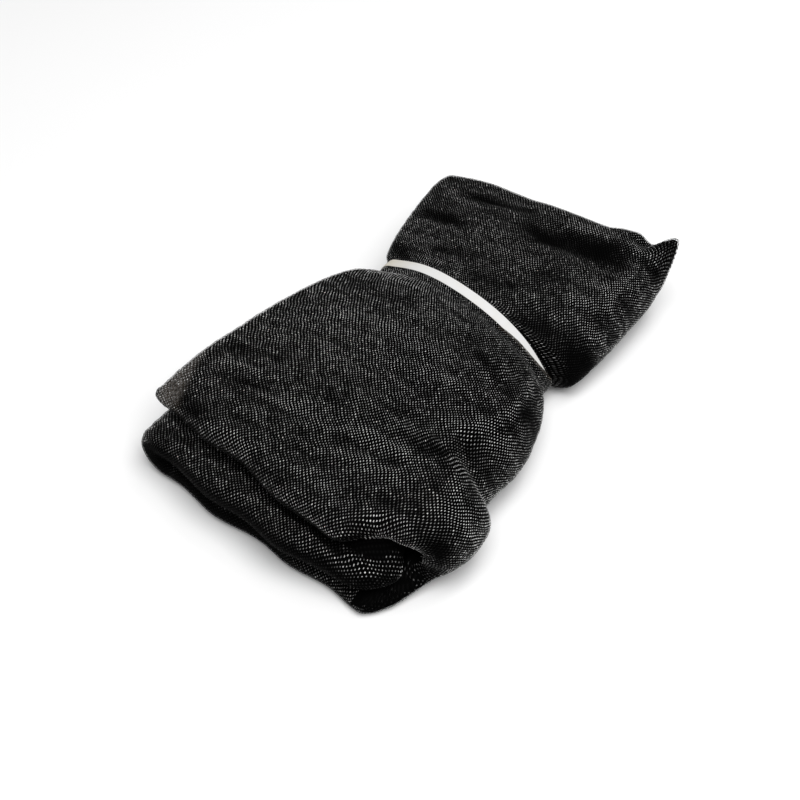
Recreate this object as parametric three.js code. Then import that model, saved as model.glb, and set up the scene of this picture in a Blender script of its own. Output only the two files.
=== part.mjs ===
// Olive harvesting net, folded up and tied.
// A fine black net is folded into a thick soft pad. The pad wraps once round itself: the top run
// turns down at a round spine on the right, comes back as the bottom run, folds up on the left and
// ends as the middle run inside the wrap. One flat white tape draws the waist in.
// Millimetres, +Z up, +X along the bundle to its far end, +Y to its left, origin under its middle.

import * as THREE from 'three';
import { mergeVertices } from 'three/addons/utils/BufferGeometryUtils.js';

// The pad's plain section, as it would lie before it is draped
const HALF_WIDTH = 140;
const PAD = 28.5;
const LAYER_GAP = 3;
const SECTION_HEIGHT = 3 * PAD + 2 * LAYER_GAP;
const HALF_PAD = PAD / 2;
const SPINE_RADIUS = SECTION_HEIGHT / 2 - HALF_PAD;
const SPINE_AT = -HALF_WIDTH + SECTION_HEIGHT / 2;
const FOLD_RADIUS = (PAD + LAYER_GAP) / 2;
const FOLD_AT = HALF_WIDTH - FOLD_RADIUS - HALF_PAD;
const MIDDLE_END = -101;

// Round lips at the pad's front and far ends
const LIP = 15;
const FRONT_ZONE_END = -150;
const FAR_ZONE_START = 195;

// Where the bundle's middle line lies
const CENTRE_X = -3.2;
const CENTRE_Y = 4;

// The draped bundle, a row for each cross section: its reach to the left and to the right,
// and the height of the top at the left edge, left half, middle, right half and right edge
const SECTIONS = [
  { x: -280, left: 168, right: 153, edgeL: 70, halfL: 78, mid: 80, halfR: 78, edgeR: 64 },
  { x: -245, left: 171, right: 161, edgeL: 74, halfL: 84, mid: 86, halfR: 84, edgeR: 68 },
  { x: -205, left: 171, right: 168, edgeL: 79, halfL: 89, mid: 92, halfR: 90, edgeR: 76 },
  { x: -170, left: 170, right: 179, edgeL: 82, halfL: 92, mid: 95, halfR: 94, edgeR: 82 },
  { x: -135, left: 167, right: 174, edgeL: 84, halfL: 94, mid: 97, halfR: 95, edgeR: 79 },
  { x: -108, left: 161, right: 152, edgeL: 86, halfL: 95, mid: 98, halfR: 95, edgeR: 72 },
  { x: -60, left: 152, right: 155, edgeL: 88, halfL: 96, mid: 99, halfR: 95, edgeR: 74 },
  { x: 0, left: 137, right: 141, edgeL: 87, halfL: 97, mid: 99, halfR: 93, edgeR: 68 },
  { x: 36, left: 124, right: 123, edgeL: 82, halfL: 96, mid: 97, halfR: 87, edgeR: 56 },
  { x: 49, left: 113, right: 113, edgeL: 77, halfL: 93, mid: 93, halfR: 80, edgeR: 47 },
  { x: 58, left: 106, right: 107, edgeL: 71, halfL: 90, mid: 90, halfR: 75, edgeR: 40 },
  { x: 73, left: 106, right: 107, edgeL: 71, halfL: 90, mid: 90, halfR: 75, edgeR: 40 },
  { x: 82, left: 106, right: 126, edgeL: 71, halfL: 90, mid: 90, halfR: 76, edgeR: 43 },
  { x: 91, left: 115, right: 130, edgeL: 73, halfL: 91, mid: 91, halfR: 78, edgeR: 47 },
  { x: 112, left: 122, right: 134, edgeL: 76, halfL: 91, mid: 92, halfR: 83, edgeR: 58 },
  { x: 160, left: 132, right: 138, edgeL: 78, halfL: 91, mid: 93, halfR: 88, edgeR: 76 },
  { x: 210, left: 141, right: 138, edgeL: 76, halfL: 85, mid: 88, halfR: 86, edgeR: 82 },
  { x: 245, left: 144, right: 134, edgeL: 72, halfL: 78, mid: 81, halfR: 81, edgeR: 81 },
  { x: 285, left: 146, right: 128, edgeL: 68, halfL: 73, mid: 76, halfR: 76, edgeR: 75 },
];
const TOP_COLUMNS = ['edgeR', 'halfR', 'mid', 'halfL', 'edgeL'];

// The pad's front and far ends, a row for each place along its folded length from the top run's
// free edge; flare is how far the front end swings to the left
const ENDS = [
  { at: 0, front: -214, far: 241, flare: 0 },
  { at: 60, front: -226, far: 255, flare: 0 },
  { at: 125, front: -238, far: 259, flare: 0 },
  { at: 200, front: -252, far: 264, flare: 0 },
  { at: 216, front: -246, far: 272, flare: 0 },
  { at: 226, front: -229, far: 275, flare: 0 },
  { at: 236, front: -217, far: 278, flare: 0 },
  { at: 252, front: -213, far: 274, flare: 0 },
  { at: 283, front: -204, far: 264, flare: 0 },
  { at: 303, front: -206, far: 257, flare: 0 },
  { at: 314, front: -252, far: 254, flare: -2 },
  { at: 326, front: -265, far: 250, flare: -4 },
  { at: 342, front: -264, far: 246, flare: 0 },
  { at: 400, front: -261, far: 242, flare: 0 },
  { at: 470, front: -258, far: 238, flare: 0 },
  { at: 535, front: -250, far: 232, flare: 0 },
  { at: 562, front: -244, far: 228, flare: 0 },
  { at: 588, front: -251, far: 228, flare: 0 },
  { at: 655, front: -262, far: 236, flare: 0 },
  { at: 720, front: -269, far: 244, flare: 0 },
  { at: 770, front: -264, far: 246, flare: -4 },
  { at: 790, front: -254, far: 246, flare: -12 },
  { at: 803, front: -238, far: 246, flare: -22 },
];
const FLARE_LENGTH = 26;

// The free corners are rounded in plan, and the front lips run in shallow waves
const CORNER = 13;
const WAVE_DEPTH = 2.5;
const WAVE_LENGTH = 83;

// Creases of the top, a row for each: its two ends on the plain section, its half width and its
// depth; a depth below zero is a ridge
const CREASES = [
  { x0: -96, w0: -112, x1: -113, w1: -140, wide: 11, deep: 9 },
  { x0: -99, w0: -104, x1: 29, w1: -126, wide: 12, deep: -4 },
  { x0: -20, w0: -92, x1: 10, w1: -100, wide: 14, deep: 5 },
  { x0: 236, w0: 56, x1: 240, w1: 40, wide: 20, deep: 6 },
  { x0: 214, w0: -14, x1: 202, w1: -78, wide: 20, deep: 9 },
  { x0: 158, w0: -92, x1: 224, w1: -102, wide: 14, deep: 6 },
  { x0: 98, w0: -80, x1: 102, w1: -96, wide: 14, deep: 5 },
  { x0: -225, w0: -100, x1: -222, w1: -118, wide: 13, deep: 10 },
  { x0: -197, w0: 119, x1: -200, w1: 110, wide: 16, deep: 5 },
  { x0: 262, w0: -108, x1: 268, w1: -112, wide: 11, deep: 9 },
];

// The middle run's front right corner sags onto the run below it and leaves a hollow under the top
const SAG = { x: -262, w: -92, long: 42, wide: 30, deep: 11, foot: 0.33, brow: 0.7, fade: 0.04 };

// The far right corner stands up as an ear
const EAR = { x: 268, w: -134, long: 24, wide: 15, out: 10, side: -13, up: 31 };

// The tape round the waist
const BAND_X = 70;
const BAND_SLANT = 0.037;
const BAND_WIDTH = 12;
const BAND_THICK = 1;
const BAND_CLEAR = 0.5;
const WAIST_LIFT = 2.4;
const WAIST_LIFT_LENGTH = 24;

// How finely the surfaces are stepped
const EDGE_STEPS = 5;
const TOP_STEPS = 15;
const SPINE_STEPS = 12;
const LOWER_STEPS = 10;
const FOLD_STEPS = 7;
const LIP_STEPS = 5;
const FRONT_STEPS = 5;
const FAR_STEPS = 4;
const MIDDLE_STATIONS = [
  -150, -130, -110, -88, -62, -32, -4, 20, 36, 48, 58, 66, 74, 82, 91, 102, 122, 146, 170, 195,
];

const clamp = THREE.MathUtils.clamp;
const lerp = THREE.MathUtils.lerp;

// Evenly spaced values from one to another, both included
function even(count, from, to) {
  return Array.from({ length: count + 1 }, (_, i) => lerp(from, to, i / count));
}

// Cubic curve between two values with the slopes given there, t from 0 to 1
function hermite(t, p, q, slopeP, slopeQ) {
  const s = 1 - t;
  return (1 + 2 * t) * s * s * p + t * s * s * slopeP + t * t * (3 - 2 * t) * q - t * t * s * slopeQ;
}

// Slope of a column at a row, from the rows on both sides; level at a peak, a hollow or a flat
function slopeAt(table, key, column, row) {
  const a = table[Math.max(row - 1, 0)];
  const b = table[Math.min(row + 1, table.length - 1)];
  const here = table[row][column];
  const inside = row > 0 && row < table.length - 1;
  if (inside && (here - a[column]) * (b[column] - here) <= 0) {
    return 0;
  }
  return (b[column] - a[column]) / (b[key] - a[key]);
}

// Smooth reading of one column of a table at a place between its rows
function read(table, key, column, place) {
  let row = 0;
  while (row < table.length - 2 && table[row + 1][key] < place) {
    row += 1;
  }
  const a = table[row];
  const b = table[row + 1];
  const span = b[key] - a[key];
  const t = clamp((place - a[key]) / span, 0, 1);
  const slopeA = slopeAt(table, key, column, row) * span;
  const slopeB = slopeAt(table, key, column, row + 1) * span;
  return hermite(t, a[column], b[column], slopeA, slopeB);
}

// Height of the draped top over a place on the plain section
function topHeight(x, w) {
  const heights = TOP_COLUMNS.map((column) => read(SECTIONS, 'x', column, x));
  const last = heights.length - 1;
  const place = clamp(((w / HALF_WIDTH + 1) / 2) * last, 0, last);
  const i = Math.min(Math.floor(place), last - 1);
  const slope = (k) => {
    const a = Math.max(k - 1, 0);
    const b = Math.min(k + 1, last);
    return (heights[b] - heights[a]) / (b - a);
  };
  return hermite(place - i, heights[i], heights[i + 1], slope(i), slope(i + 1));
}

// Depth of the creases over a place on the plain section
function creaseDepth(x, w) {
  let depth = 0;
  for (const crease of CREASES) {
    const dx = crease.x1 - crease.x0;
    const dw = crease.w1 - crease.w0;
    const along = ((x - crease.x0) * dx + (w - crease.w0) * dw) / (dx * dx + dw * dw);
    const t = clamp(along, 0, 1);
    const away = Math.hypot(x - crease.x0 - t * dx, w - crease.w0 - t * dw) / crease.wide;
    depth += crease.deep * Math.exp(-away * away);
  }
  return depth;
}

// Carries a point of the plain pad, across w and up c at station x, to where it lies in the bundle
function drape(x, w, c) {
  const up = c / SECTION_HEIGHT;
  const reach = read(SECTIONS, 'x', w > 0 ? 'left' : 'right', x);
  const earX = (x - EAR.x) / EAR.long;
  const earW = (w - EAR.w) / EAR.wide;
  const ear = Math.exp(-earX * earX - earW * earW) * clamp((up - 0.35) / 0.4, 0, 1);
  const sagX = (x - SAG.x) / SAG.long;
  const sagW = (w - SAG.w) / SAG.wide;
  const sagUp = clamp(up / SAG.foot, 0, 1) * clamp((SAG.brow - up) / SAG.fade, 0, 1);
  const sag = SAG.deep * Math.exp(-sagX * sagX - sagW * sagW) * sagUp;
  const fromBand = (x - BAND_X) / WAIST_LIFT_LENGTH;
  const lift = WAIST_LIFT * Math.exp(-fromBand * fromBand) * (1 - up);
  return new THREE.Vector3(
    CENTRE_X + x + EAR.out * ear,
    CENTRE_Y + (w / HALF_WIDTH) * reach + EAR.side * ear,
    up * (topHeight(x, w) - creaseDepth(x, w)) + lift + EAR.up * ear - sag,
  );
}

// The pad's middle line in its plain section, with the normal towards the inside of the wrap
function padPath() {
  const path = [];
  const line = (fromW, toW, c, steps) => {
    const facing = toW < fromW ? -1 : 1;
    for (const t of steps) {
      path.push({ w: lerp(fromW, toW, t), c, normalW: 0, normalC: facing });
    }
  };
  const arc = (w, c, radius, fromAngle, toAngle, count) => {
    for (let i = 1; i <= count; i += 1) {
      const angle = lerp(fromAngle, toAngle, i / count);
      path.push({
        w: w + radius * Math.cos(angle),
        c: c + radius * Math.sin(angle),
        normalW: -Math.cos(angle),
        normalC: -Math.sin(angle),
      });
    }
  };
  const rounded = (length) => {
    const turn = even(EDGE_STEPS, 0, Math.PI / 2).slice(0, -1);
    return turn.map((angle) => ((1 - Math.cos(angle)) * HALF_PAD) / length);
  };

  const top = SECTION_HEIGHT - HALF_PAD;
  const middle = SECTION_HEIGHT / 2;
  const bottom = HALF_PAD;
  const topLength = HALF_WIDTH - SPINE_AT;
  const middleLength = FOLD_AT - MIDDLE_END;
  const topEdge = rounded(topLength);
  const middleEdge = rounded(middleLength).map((t) => 1 - t).reverse();

  line(HALF_WIDTH, SPINE_AT, top, [...topEdge, ...even(TOP_STEPS, HALF_PAD / topLength, 1)]);
  arc(SPINE_AT, middle, SPINE_RADIUS, Math.PI / 2, Math.PI * 1.5, SPINE_STEPS);
  line(SPINE_AT, FOLD_AT, bottom, even(LOWER_STEPS, 0, 1).slice(1));
  arc(FOLD_AT, (bottom + middle) / 2, FOLD_RADIUS, -Math.PI / 2, Math.PI / 2, FOLD_STEPS);
  const inner = even(LOWER_STEPS, 0, 1 - HALF_PAD / middleLength).slice(1);
  line(FOLD_AT, MIDDLE_END, middle, [...inner, ...middleEdge]);

  path[0].at = 0;
  for (let i = 1; i < path.length; i += 1) {
    path[i].at = path[i - 1].at + Math.hypot(path[i].w - path[i - 1].w, path[i].c - path[i - 1].c);
  }
  return path;
}

// Share of the pad's full thickness at a distance from one of its rounded ends
function roundOff(distance, radius) {
  const d = 1 - clamp(distance / radius, 0, 1);
  return Math.sqrt(Math.max(1 - d * d, 0));
}

// Front and far ends of the strip of pad at a place along its folded length
function stripEnds(at, length) {
  const corner = CORNER * (1 - roundOff(Math.min(at, length - at), CORNER));
  const wave = WAVE_DEPTH * Math.sin((2 * Math.PI * at) / WAVE_LENGTH);
  return {
    front: read(ENDS, 'at', 'front', at) + corner + wave,
    far: read(ENDS, 'at', 'far', at) - corner,
    flare: read(ENDS, 'at', 'flare', at),
  };
}

// Stations along the bundle for a strip of the pad that runs from front to far
function stations(front, far) {
  const turn = even(LIP_STEPS, 0, Math.PI / 2).map((angle) => LIP * (1 - Math.cos(angle)));
  const list = turn.map((d) => front + d);
  for (let i = 1; i < FRONT_STEPS; i += 1) {
    list.push(lerp(front + LIP, FRONT_ZONE_END, i / FRONT_STEPS));
  }
  list.push(...MIDDLE_STATIONS);
  for (let i = 1; i < FAR_STEPS; i += 1) {
    list.push(lerp(FAR_ZONE_START, far - LIP, i / FAR_STEPS));
  }
  list.push(...turn.map((d) => far - d).reverse());
  return list;
}

// A closed geometry from points and triangles, with the points that coincide joined
function closedGeometry(points, triangles) {
  const geometry = new THREE.BufferGeometry();
  geometry.setAttribute('position', new THREE.Float32BufferAttribute(points.flatMap((p) => p.toArray()), 3));
  geometry.setIndex(triangles);
  const joined = mergeVertices(geometry, 1e-3);
  joined.computeVertexNormals();
  return joined;
}

// The folded pad: an outer and an inner face over the same grid, meeting in the round lips
function netGeometry() {
  const path = padPath();
  const length = path[path.length - 1].at;
  const points = [];
  const triangles = [];
  for (const face of [-1, 1]) {
    const first = points.length;
    let columns = 0;
    for (const place of path) {
      const { front, far, flare } = stripEnds(place.at, length);
      const edge = roundOff(Math.min(place.at, length - place.at), HALF_PAD);
      const row = stations(front, far);
      columns = row.length;
      for (const x of row) {
        const offset = face * HALF_PAD * edge * roundOff(Math.min(x - front, far - x), LIP);
        const fromFront = (x - front) / FLARE_LENGTH;
        const swing = flare * Math.exp(-fromFront * fromFront);
        points.push(drape(x, place.w + swing + offset * place.normalW, place.c + offset * place.normalC));
      }
    }
    for (let i = 0; i < path.length - 1; i += 1) {
      for (let j = 0; j < columns - 1; j += 1) {
        const a = first + i * columns + j;
        const b = a + columns;
        const quad = face < 0 ? [a, b, b + 1, a, b + 1, a + 1] : [a, b + 1, b, a, a + 1, b + 1];
        triangles.push(...quad);
      }
    }
  }
  return closedGeometry(points, triangles);
}

// Outline of the plain section that the tape lies on: two corners on the left and the round spine
function waistOutline() {
  const outline = [];
  const corner = (w, c, radius, fromAngle, toAngle, count) => {
    for (let i = 0; i <= count; i += 1) {
      const angle = lerp(fromAngle, toAngle, i / count);
      outline.push({ w: w + radius * Math.cos(angle), c: c + radius * Math.sin(angle) });
    }
  };
  const level = (toW, count) => {
    const from = outline[outline.length - 1];
    for (let i = 1; i < count; i += 1) {
      outline.push({ w: lerp(from.w, toW, i / count), c: from.c });
    }
  };
  const spine = SPINE_RADIUS + HALF_PAD;
  const fold = FOLD_RADIUS + HALF_PAD;
  corner(HALF_WIDTH - HALF_PAD, SECTION_HEIGHT - HALF_PAD, HALF_PAD, 0, Math.PI / 2, 5);
  level(SPINE_AT, TOP_STEPS);
  corner(SPINE_AT, SECTION_HEIGHT / 2, spine, Math.PI / 2, Math.PI * 1.5, SPINE_STEPS);
  level(HALF_WIDTH - fold, LOWER_STEPS);
  corner(HALF_WIDTH - fold, fold, fold, -Math.PI / 2, 0, FOLD_STEPS);
  return outline;
}

// The tape: a flat strip on edge all the way round the waist
function bandGeometry() {
  const outline = waistOutline().map(({ w, c }) => drape(BAND_X + BAND_SLANT * w, w, c));
  const count = outline.length;
  const inner = BAND_CLEAR;
  const outer = BAND_CLEAR + BAND_THICK;
  const points = [];
  const triangles = [];
  for (let i = 0; i < count; i += 1) {
    const before = outline[(i + count - 1) % count];
    const after = outline[(i + 1) % count];
    const run = after.clone().sub(before).normalize();
    const outwards = new THREE.Vector3(0, run.z, -run.y);
    for (const [side, off] of [[-1, inner], [1, inner], [1, outer], [-1, outer]]) {
      const corner = outline[i].clone().addScaledVector(outwards, off);
      corner.x += (side * BAND_WIDTH) / 2;
      points.push(corner);
    }
  }
  for (let i = 0; i < count; i += 1) {
    const next = (i + 1) % count;
    for (let k = 0; k < 4; k += 1) {
      const a = i * 4 + k;
      const b = i * 4 + ((k + 1) % 4);
      const c = next * 4 + ((k + 1) % 4);
      const d = next * 4 + k;
      triangles.push(a, b, c, a, c, d);
    }
  }
  return closedGeometry(points, triangles);
}

const net = new THREE.Mesh(
  netGeometry(),
  new THREE.MeshStandardMaterial({ color: 0x1c1c1b, roughness: 0.62, metalness: 0 }),
);
net.name = 'net';

const band = new THREE.Mesh(
  bandGeometry(),
  new THREE.MeshStandardMaterial({ color: 0xf1efe8, roughness: 0.55, metalness: 0 }),
);
band.name = 'band';

const bundle = new THREE.Group();
bundle.name = 'olive_net_bundle';
bundle.add(net, band);

export default bundle;
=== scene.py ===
import bpy
import numpy as np
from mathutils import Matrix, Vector


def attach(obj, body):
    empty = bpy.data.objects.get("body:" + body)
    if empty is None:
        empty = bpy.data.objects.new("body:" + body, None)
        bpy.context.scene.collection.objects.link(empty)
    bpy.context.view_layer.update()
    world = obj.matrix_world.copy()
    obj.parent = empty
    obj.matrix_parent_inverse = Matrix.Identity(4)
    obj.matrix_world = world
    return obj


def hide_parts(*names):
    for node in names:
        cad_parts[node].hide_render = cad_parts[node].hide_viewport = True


# Olive harvesting net, folded up and tied: a dark skin on its folds, an outer ply of real stitches and
# threads, and a white tape. Tables are in millimetres on the part's own axes; drape() hands back metres.

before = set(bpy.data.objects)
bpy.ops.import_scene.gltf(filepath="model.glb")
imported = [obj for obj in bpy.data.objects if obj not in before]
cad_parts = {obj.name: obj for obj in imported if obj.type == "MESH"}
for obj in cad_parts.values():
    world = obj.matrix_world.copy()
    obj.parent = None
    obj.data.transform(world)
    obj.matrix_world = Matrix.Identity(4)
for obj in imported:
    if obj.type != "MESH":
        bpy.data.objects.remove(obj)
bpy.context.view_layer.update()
mm = 0.001

view = {
    "azimuth": -53.5,  # degrees, 0 looks along +Y
    "elevation": 46.0,
    "distance": 1.6,
    "target": (-0.0546, -0.0105, 0.040),
    "lens": 72.0,
    "sensor": 36.0,
    "shiftX": -0.00625,
    "clipEnd": 20.0,
}


def addCamera(v):
    a, e = np.radians([v["azimuth"], v["elevation"]])
    back = Vector((np.sin(a) * np.cos(e), -np.cos(a) * np.cos(e), np.sin(e)))
    data = bpy.data.cameras.new("camera")
    data.lens, data.sensor_width, data.shift_x = v["lens"], v["sensor"], v["shiftX"]
    data.clip_end = v["clipEnd"]
    camera = bpy.data.objects.new("camera", data)
    camera.location = Vector(v["target"]) + back * v["distance"]
    camera.rotation_euler = back.to_track_quat("Z", "Y").to_euler()
    bpy.context.scene.collection.objects.link(camera)
    bpy.context.scene.camera = camera


addCamera(view)
print("camera set")


# Shader maths: a Wire is one output socket, and sums on it add Math nodes
class Wire:
    def __init__(self, finish, socket):
        self.finish, self.socket = finish, socket

    def maths(self, operation, *values):
        return self.finish.add("ShaderNodeMath", {"operation": operation}, dict(enumerate(values)))

    def __add__(self, other):
        return self.maths("ADD", self, other)

    def __rsub__(self, other):
        return self.maths("SUBTRACT", other, self)

    def __mul__(self, other):
        return self.maths("MULTIPLY", self, other)

    __radd__ = __add__
    __rmul__ = __mul__

    def cosine(self):
        return self.maths("COSINE", self)

    def between(self, low, high):  # 0 below low, 1 above high, smooth in between
        ends = {"Value": self, "From Min": low, "From Max": high}
        return self.finish.add("ShaderNodeMapRange", {"interpolation_type": "SMOOTHSTEP"}, ends)


class Finish:
    def __init__(self, name, **fixed):
        self.material = bpy.data.materials.new(name)
        self.material.use_nodes = True
        self.nodes = self.material.node_tree.nodes
        self.shader = self.nodes["Principled BSDF"]
        for socket, value in fixed.items():
            self.shader.inputs[socket.replace("_", " ")].default_value = value

    def plug(self, socket, value):
        if isinstance(value, Wire):
            self.material.node_tree.links.new(value.socket, socket)
        else:
            socket.default_value = value

    def add(self, kind, settings, inputs, output=0):
        node = self.nodes.new(kind)
        for name, value in settings.items():
            setattr(node, name, value)
        for name, value in inputs.items():
            self.plug(node.inputs[name], value)
        return Wire(self, node.outputs[output])

    def set(self, socket, value):
        self.plug(self.shader.inputs[socket], value)

    def blend(self, share, a, b):  # colour a where share is 0, colour b where it is 1
        settings = {"data_type": "RGBA"}
        a, b = [c if isinstance(c, Wire) else (*c, 1) for c in (a, b)]
        return self.add("ShaderNodeMix", settings, {0: share, 6: a, 7: b}, output=2)

    def noise(self, place, size, detail=2.0):  # soft cloudy value round 0.5, size in metres
        inputs = {"Vector": place, "Scale": 1 / size, "Detail": detail}
        return self.add("ShaderNodeTexNoise", {}, inputs)

    def place(self):
        return self.add("ShaderNodeTexCoord", {}, {}, output="Object")

    def bump(self, height, depth):
        self.set("Normal", self.add("ShaderNodeBump", {}, {"Height": height, "Distance": depth}))


def table(names, rows):
    return dict(zip(names.split(), np.array(rows, float).T))


# The folded pad, repeated from the part: its plain section, its draped sections and its two ends
pad = {
    "halfWidth": 140.0,
    "thick": 28.5,
    "layerGap": 3.0,
    "middleEnd": -101.0,
    "lip": 15.0,
    "corner": 13.0,
    "waveDepth": 2.5,
    "waveLength": 83.0,
    "flareLength": 26.0,
    "centre": (-3.2, 4.0),
}
halfPad = pad["thick"] / 2
sectionHeight = 3 * pad["thick"] + 2 * pad["layerGap"]
spineRadius = sectionHeight / 2 - halfPad
spineAt = sectionHeight / 2 - pad["halfWidth"]
foldRadius = (pad["thick"] + pad["layerGap"]) / 2
foldAt = pad["halfWidth"] - foldRadius - halfPad
runs = [
    pad["halfWidth"] - spineAt,
    np.pi * spineRadius,
    foldAt - spineAt,
    np.pi * foldRadius,
    foldAt - pad["middleEnd"],
]
spineStart, lowerStart, foldStart, middleStart, padLength = np.cumsum(runs)
lipArc = np.pi / 2 * pad["lip"]

sections = table(
    "x left right edgeL halfL mid halfR edgeR",
    [
        (-280, 168, 153, 70, 78, 80, 78, 64),
        (-245, 171, 161, 74, 84, 86, 84, 68),
        (-205, 171, 168, 79, 89, 92, 90, 76),
        (-170, 170, 179, 82, 92, 95, 94, 82),
        (-135, 167, 174, 84, 94, 97, 95, 79),
        (-108, 161, 152, 86, 95, 98, 95, 72),
        (-60, 152, 155, 88, 96, 99, 95, 74),
        (0, 137, 141, 87, 97, 99, 93, 68),
        (36, 124, 123, 82, 96, 97, 87, 56),
        (49, 113, 113, 77, 93, 93, 80, 47),
        (58, 106, 107, 71, 90, 90, 75, 40),
        (73, 106, 107, 71, 90, 90, 75, 40),
        (82, 106, 126, 71, 90, 90, 76, 43),
        (91, 115, 130, 73, 91, 91, 78, 47),
        (112, 122, 134, 76, 91, 92, 83, 58),
        (160, 132, 138, 78, 91, 93, 88, 76),
        (210, 141, 138, 76, 85, 88, 86, 82),
        (245, 144, 134, 72, 78, 81, 81, 81),
        (285, 146, 128, 68, 73, 76, 76, 75),
    ],
)
ends = table(
    "at front far flare",
    [
        (0, -214, 241, 0),
        (60, -226, 255, 0),
        (125, -238, 259, 0),
        (200, -252, 264, 0),
        (216, -246, 272, 0),
        (226, -229, 275, 0),
        (236, -217, 278, 0),
        (252, -213, 274, 0),
        (283, -204, 264, 0),
        (303, -206, 257, 0),
        (314, -252, 254, -2),
        (326, -265, 250, -4),
        (342, -264, 246, 0),
        (400, -261, 242, 0),
        (470, -258, 238, 0),
        (535, -250, 232, 0),
        (562, -244, 228, 0),
        (588, -251, 228, 0),
        (655, -262, 236, 0),
        (720, -269, 244, 0),
        (770, -264, 246, -4),
        (790, -254, 246, -12),
        (803, -238, 246, -22),
    ],
)
# Creases of the top, each from (x0, w0) to (x1, w1), half width and depth; a depth below zero is a ridge
creases = table(
    "x0 w0 x1 w1 wide deep",
    [
        (-96, -112, -113, -140, 11, 9),
        (-99, -104, 29, -126, 12, -4),
        (-20, -92, 10, -100, 14, 5),
        (236, 56, 240, 40, 20, 6),
        (214, -14, 202, -78, 20, 9),
        (158, -92, 224, -102, 14, 6),
        (98, -80, 102, -96, 14, 5),
        (-225, -100, -222, -118, 13, 10),
        (-197, 119, -200, 110, 16, 5),
        (262, -108, 268, -112, 11, 9),
    ],
)
# The lower plies sag at the front right; foot, brow and fade are shares of the height
sag = {
    "x": -262.0,
    "w": -92.0,
    "long": 42.0,
    "wide": 30.0,
    "deep": 11.0,
    "foot": 0.33,
    "brow": 0.7,
    "fade": 0.04,
}
# The far right corner stands up as an ear, from the foot's share of the height on
ear = {
    "x": 268.0,
    "w": -134.0,
    "long": 24.0,
    "wide": 15.0,
    "out": 10.0,
    "side": -13.0,
    "up": 31.0,
    "foot": 0.35,
    "fade": 0.4,
}
tape = {
    "x": 70.0,
    "slant": 0.037,
    "width": 12.0,
    "thick": 1.0,
    "clear": 0.5,
    "waistLift": 2.4,  # how far the tape lifts the underside
    "liftLength": 24.0,
    "smoothLength": 13.0,  # the cloth is smooth this near the tape, and pressed flat nearer still
    "pressLength": 10.0,
    "edgeRadius": 0.4,
    "crown": 0.25,
    "steps": 300,  # round the waist, and on an edge's quarter turn and on the flat of the section
    "edgeSteps": 4,
    "flatSteps": 9,
}


# Cubic curve from p to q with the slopes given at both, t from 0 to 1
def hermite(t, p, q, slopeP, slopeQ):
    s = 1 - t
    return (1 + 2 * t) * s * s * p + t * s * s * slopeP + t * t * (3 - 2 * t) * q - t * t * s * slopeQ


# Smooth reading of a table's column: hermite pieces, level at each peak, hollow and flat
def readColumn(rows, key, column, place):
    xs, ys = rows[key], rows[column]
    step, rise = np.diff(xs), np.diff(ys)
    inside = np.where(rise[:-1] * rise[1:] <= 0, 0, (ys[2:] - ys[:-2]) / (xs[2:] - xs[:-2]))
    slope = np.concatenate([[rise[0] / step[0]], inside, [rise[-1] / step[-1]]])
    i = np.clip(np.searchsorted(xs, place) - 1, 0, len(xs) - 2)
    t = np.clip((place - xs[i]) / step[i], 0, 1)
    return hermite(t, ys[i], ys[i + 1], slope[i] * step[i], slope[i + 1] * step[i])


# Height of the draped top: a hermite curve across the five height columns, read at x
def topHeight(x, w):
    columns = ("edgeR", "halfR", "mid", "halfL", "edgeL")
    heights = np.stack([readColumn(sections, "x", column, x) for column in columns])
    slopes = np.gradient(heights, axis=0)
    place = np.clip((w / pad["halfWidth"] + 1) * 2, 0, 4)
    i = np.minimum(place.astype(int), 3)
    pick = lambda values, k: np.take_along_axis(values, k[None], 0)[0]
    return hermite(place - i, pick(heights, i), pick(heights, i + 1), pick(slopes, i), pick(slopes, i + 1))


# Depth of the creases: each is a bell across the distance from its line
def creaseDepth(x, w, rows):
    depth = np.zeros(np.broadcast(x, w).shape)
    for x0, w0, x1, w1, wide, deep in zip(*rows.values()):
        dx, dw = x1 - x0, w1 - w0
        t = np.clip(((x - x0) * dx + (w - w0) * dw) / (dx * dx + dw * dw), 0, 1)
        depth += deep * np.exp(-((x - x0 - t * dx) ** 2 + (w - w0 - t * dw) ** 2) / wide**2)
    return depth


# A bell over (x, w) at the place and of the size that a dictionary gives
def bellAt(x, w, v):
    return np.exp(-(((x - v["x"]) / v["long"]) ** 2) - ((w - v["w"]) / v["wide"]) ** 2)


# Carries points of the plain section, across w and up c at station x, to where they lie, in metres: the
# section is widened to the table's reach and raised to the top's height by its share of height, lifted at
# the waist, and pulled by the ear and the sag
def drape(x, w, c):
    up = c / sectionHeight
    reach = np.where(w > 0, readColumn(sections, "x", "left", x), readColumn(sections, "x", "right", x))
    stand = bellAt(x, w, ear) * np.clip((up - ear["foot"]) / ear["fade"], 0, 1)
    sunk = sag["deep"] * bellAt(x, w, sag) * np.clip(up / sag["foot"], 0, 1)
    sunk = sunk * np.clip((sag["brow"] - up) / sag["fade"], 0, 1)
    lift = tape["waistLift"] * np.exp(-(((x - tape["x"]) / tape["liftLength"]) ** 2)) * (1 - up)
    y = pad["centre"][1] + w / pad["halfWidth"] * reach + ear["side"] * stand
    z = up * (topHeight(x, w) - creaseDepth(x, w, creases)) + lift + ear["up"] * stand - sunk
    return np.stack([pad["centre"][0] + x + ear["out"] * stand, y, np.maximum(z, 0)], -1) * mm


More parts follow.
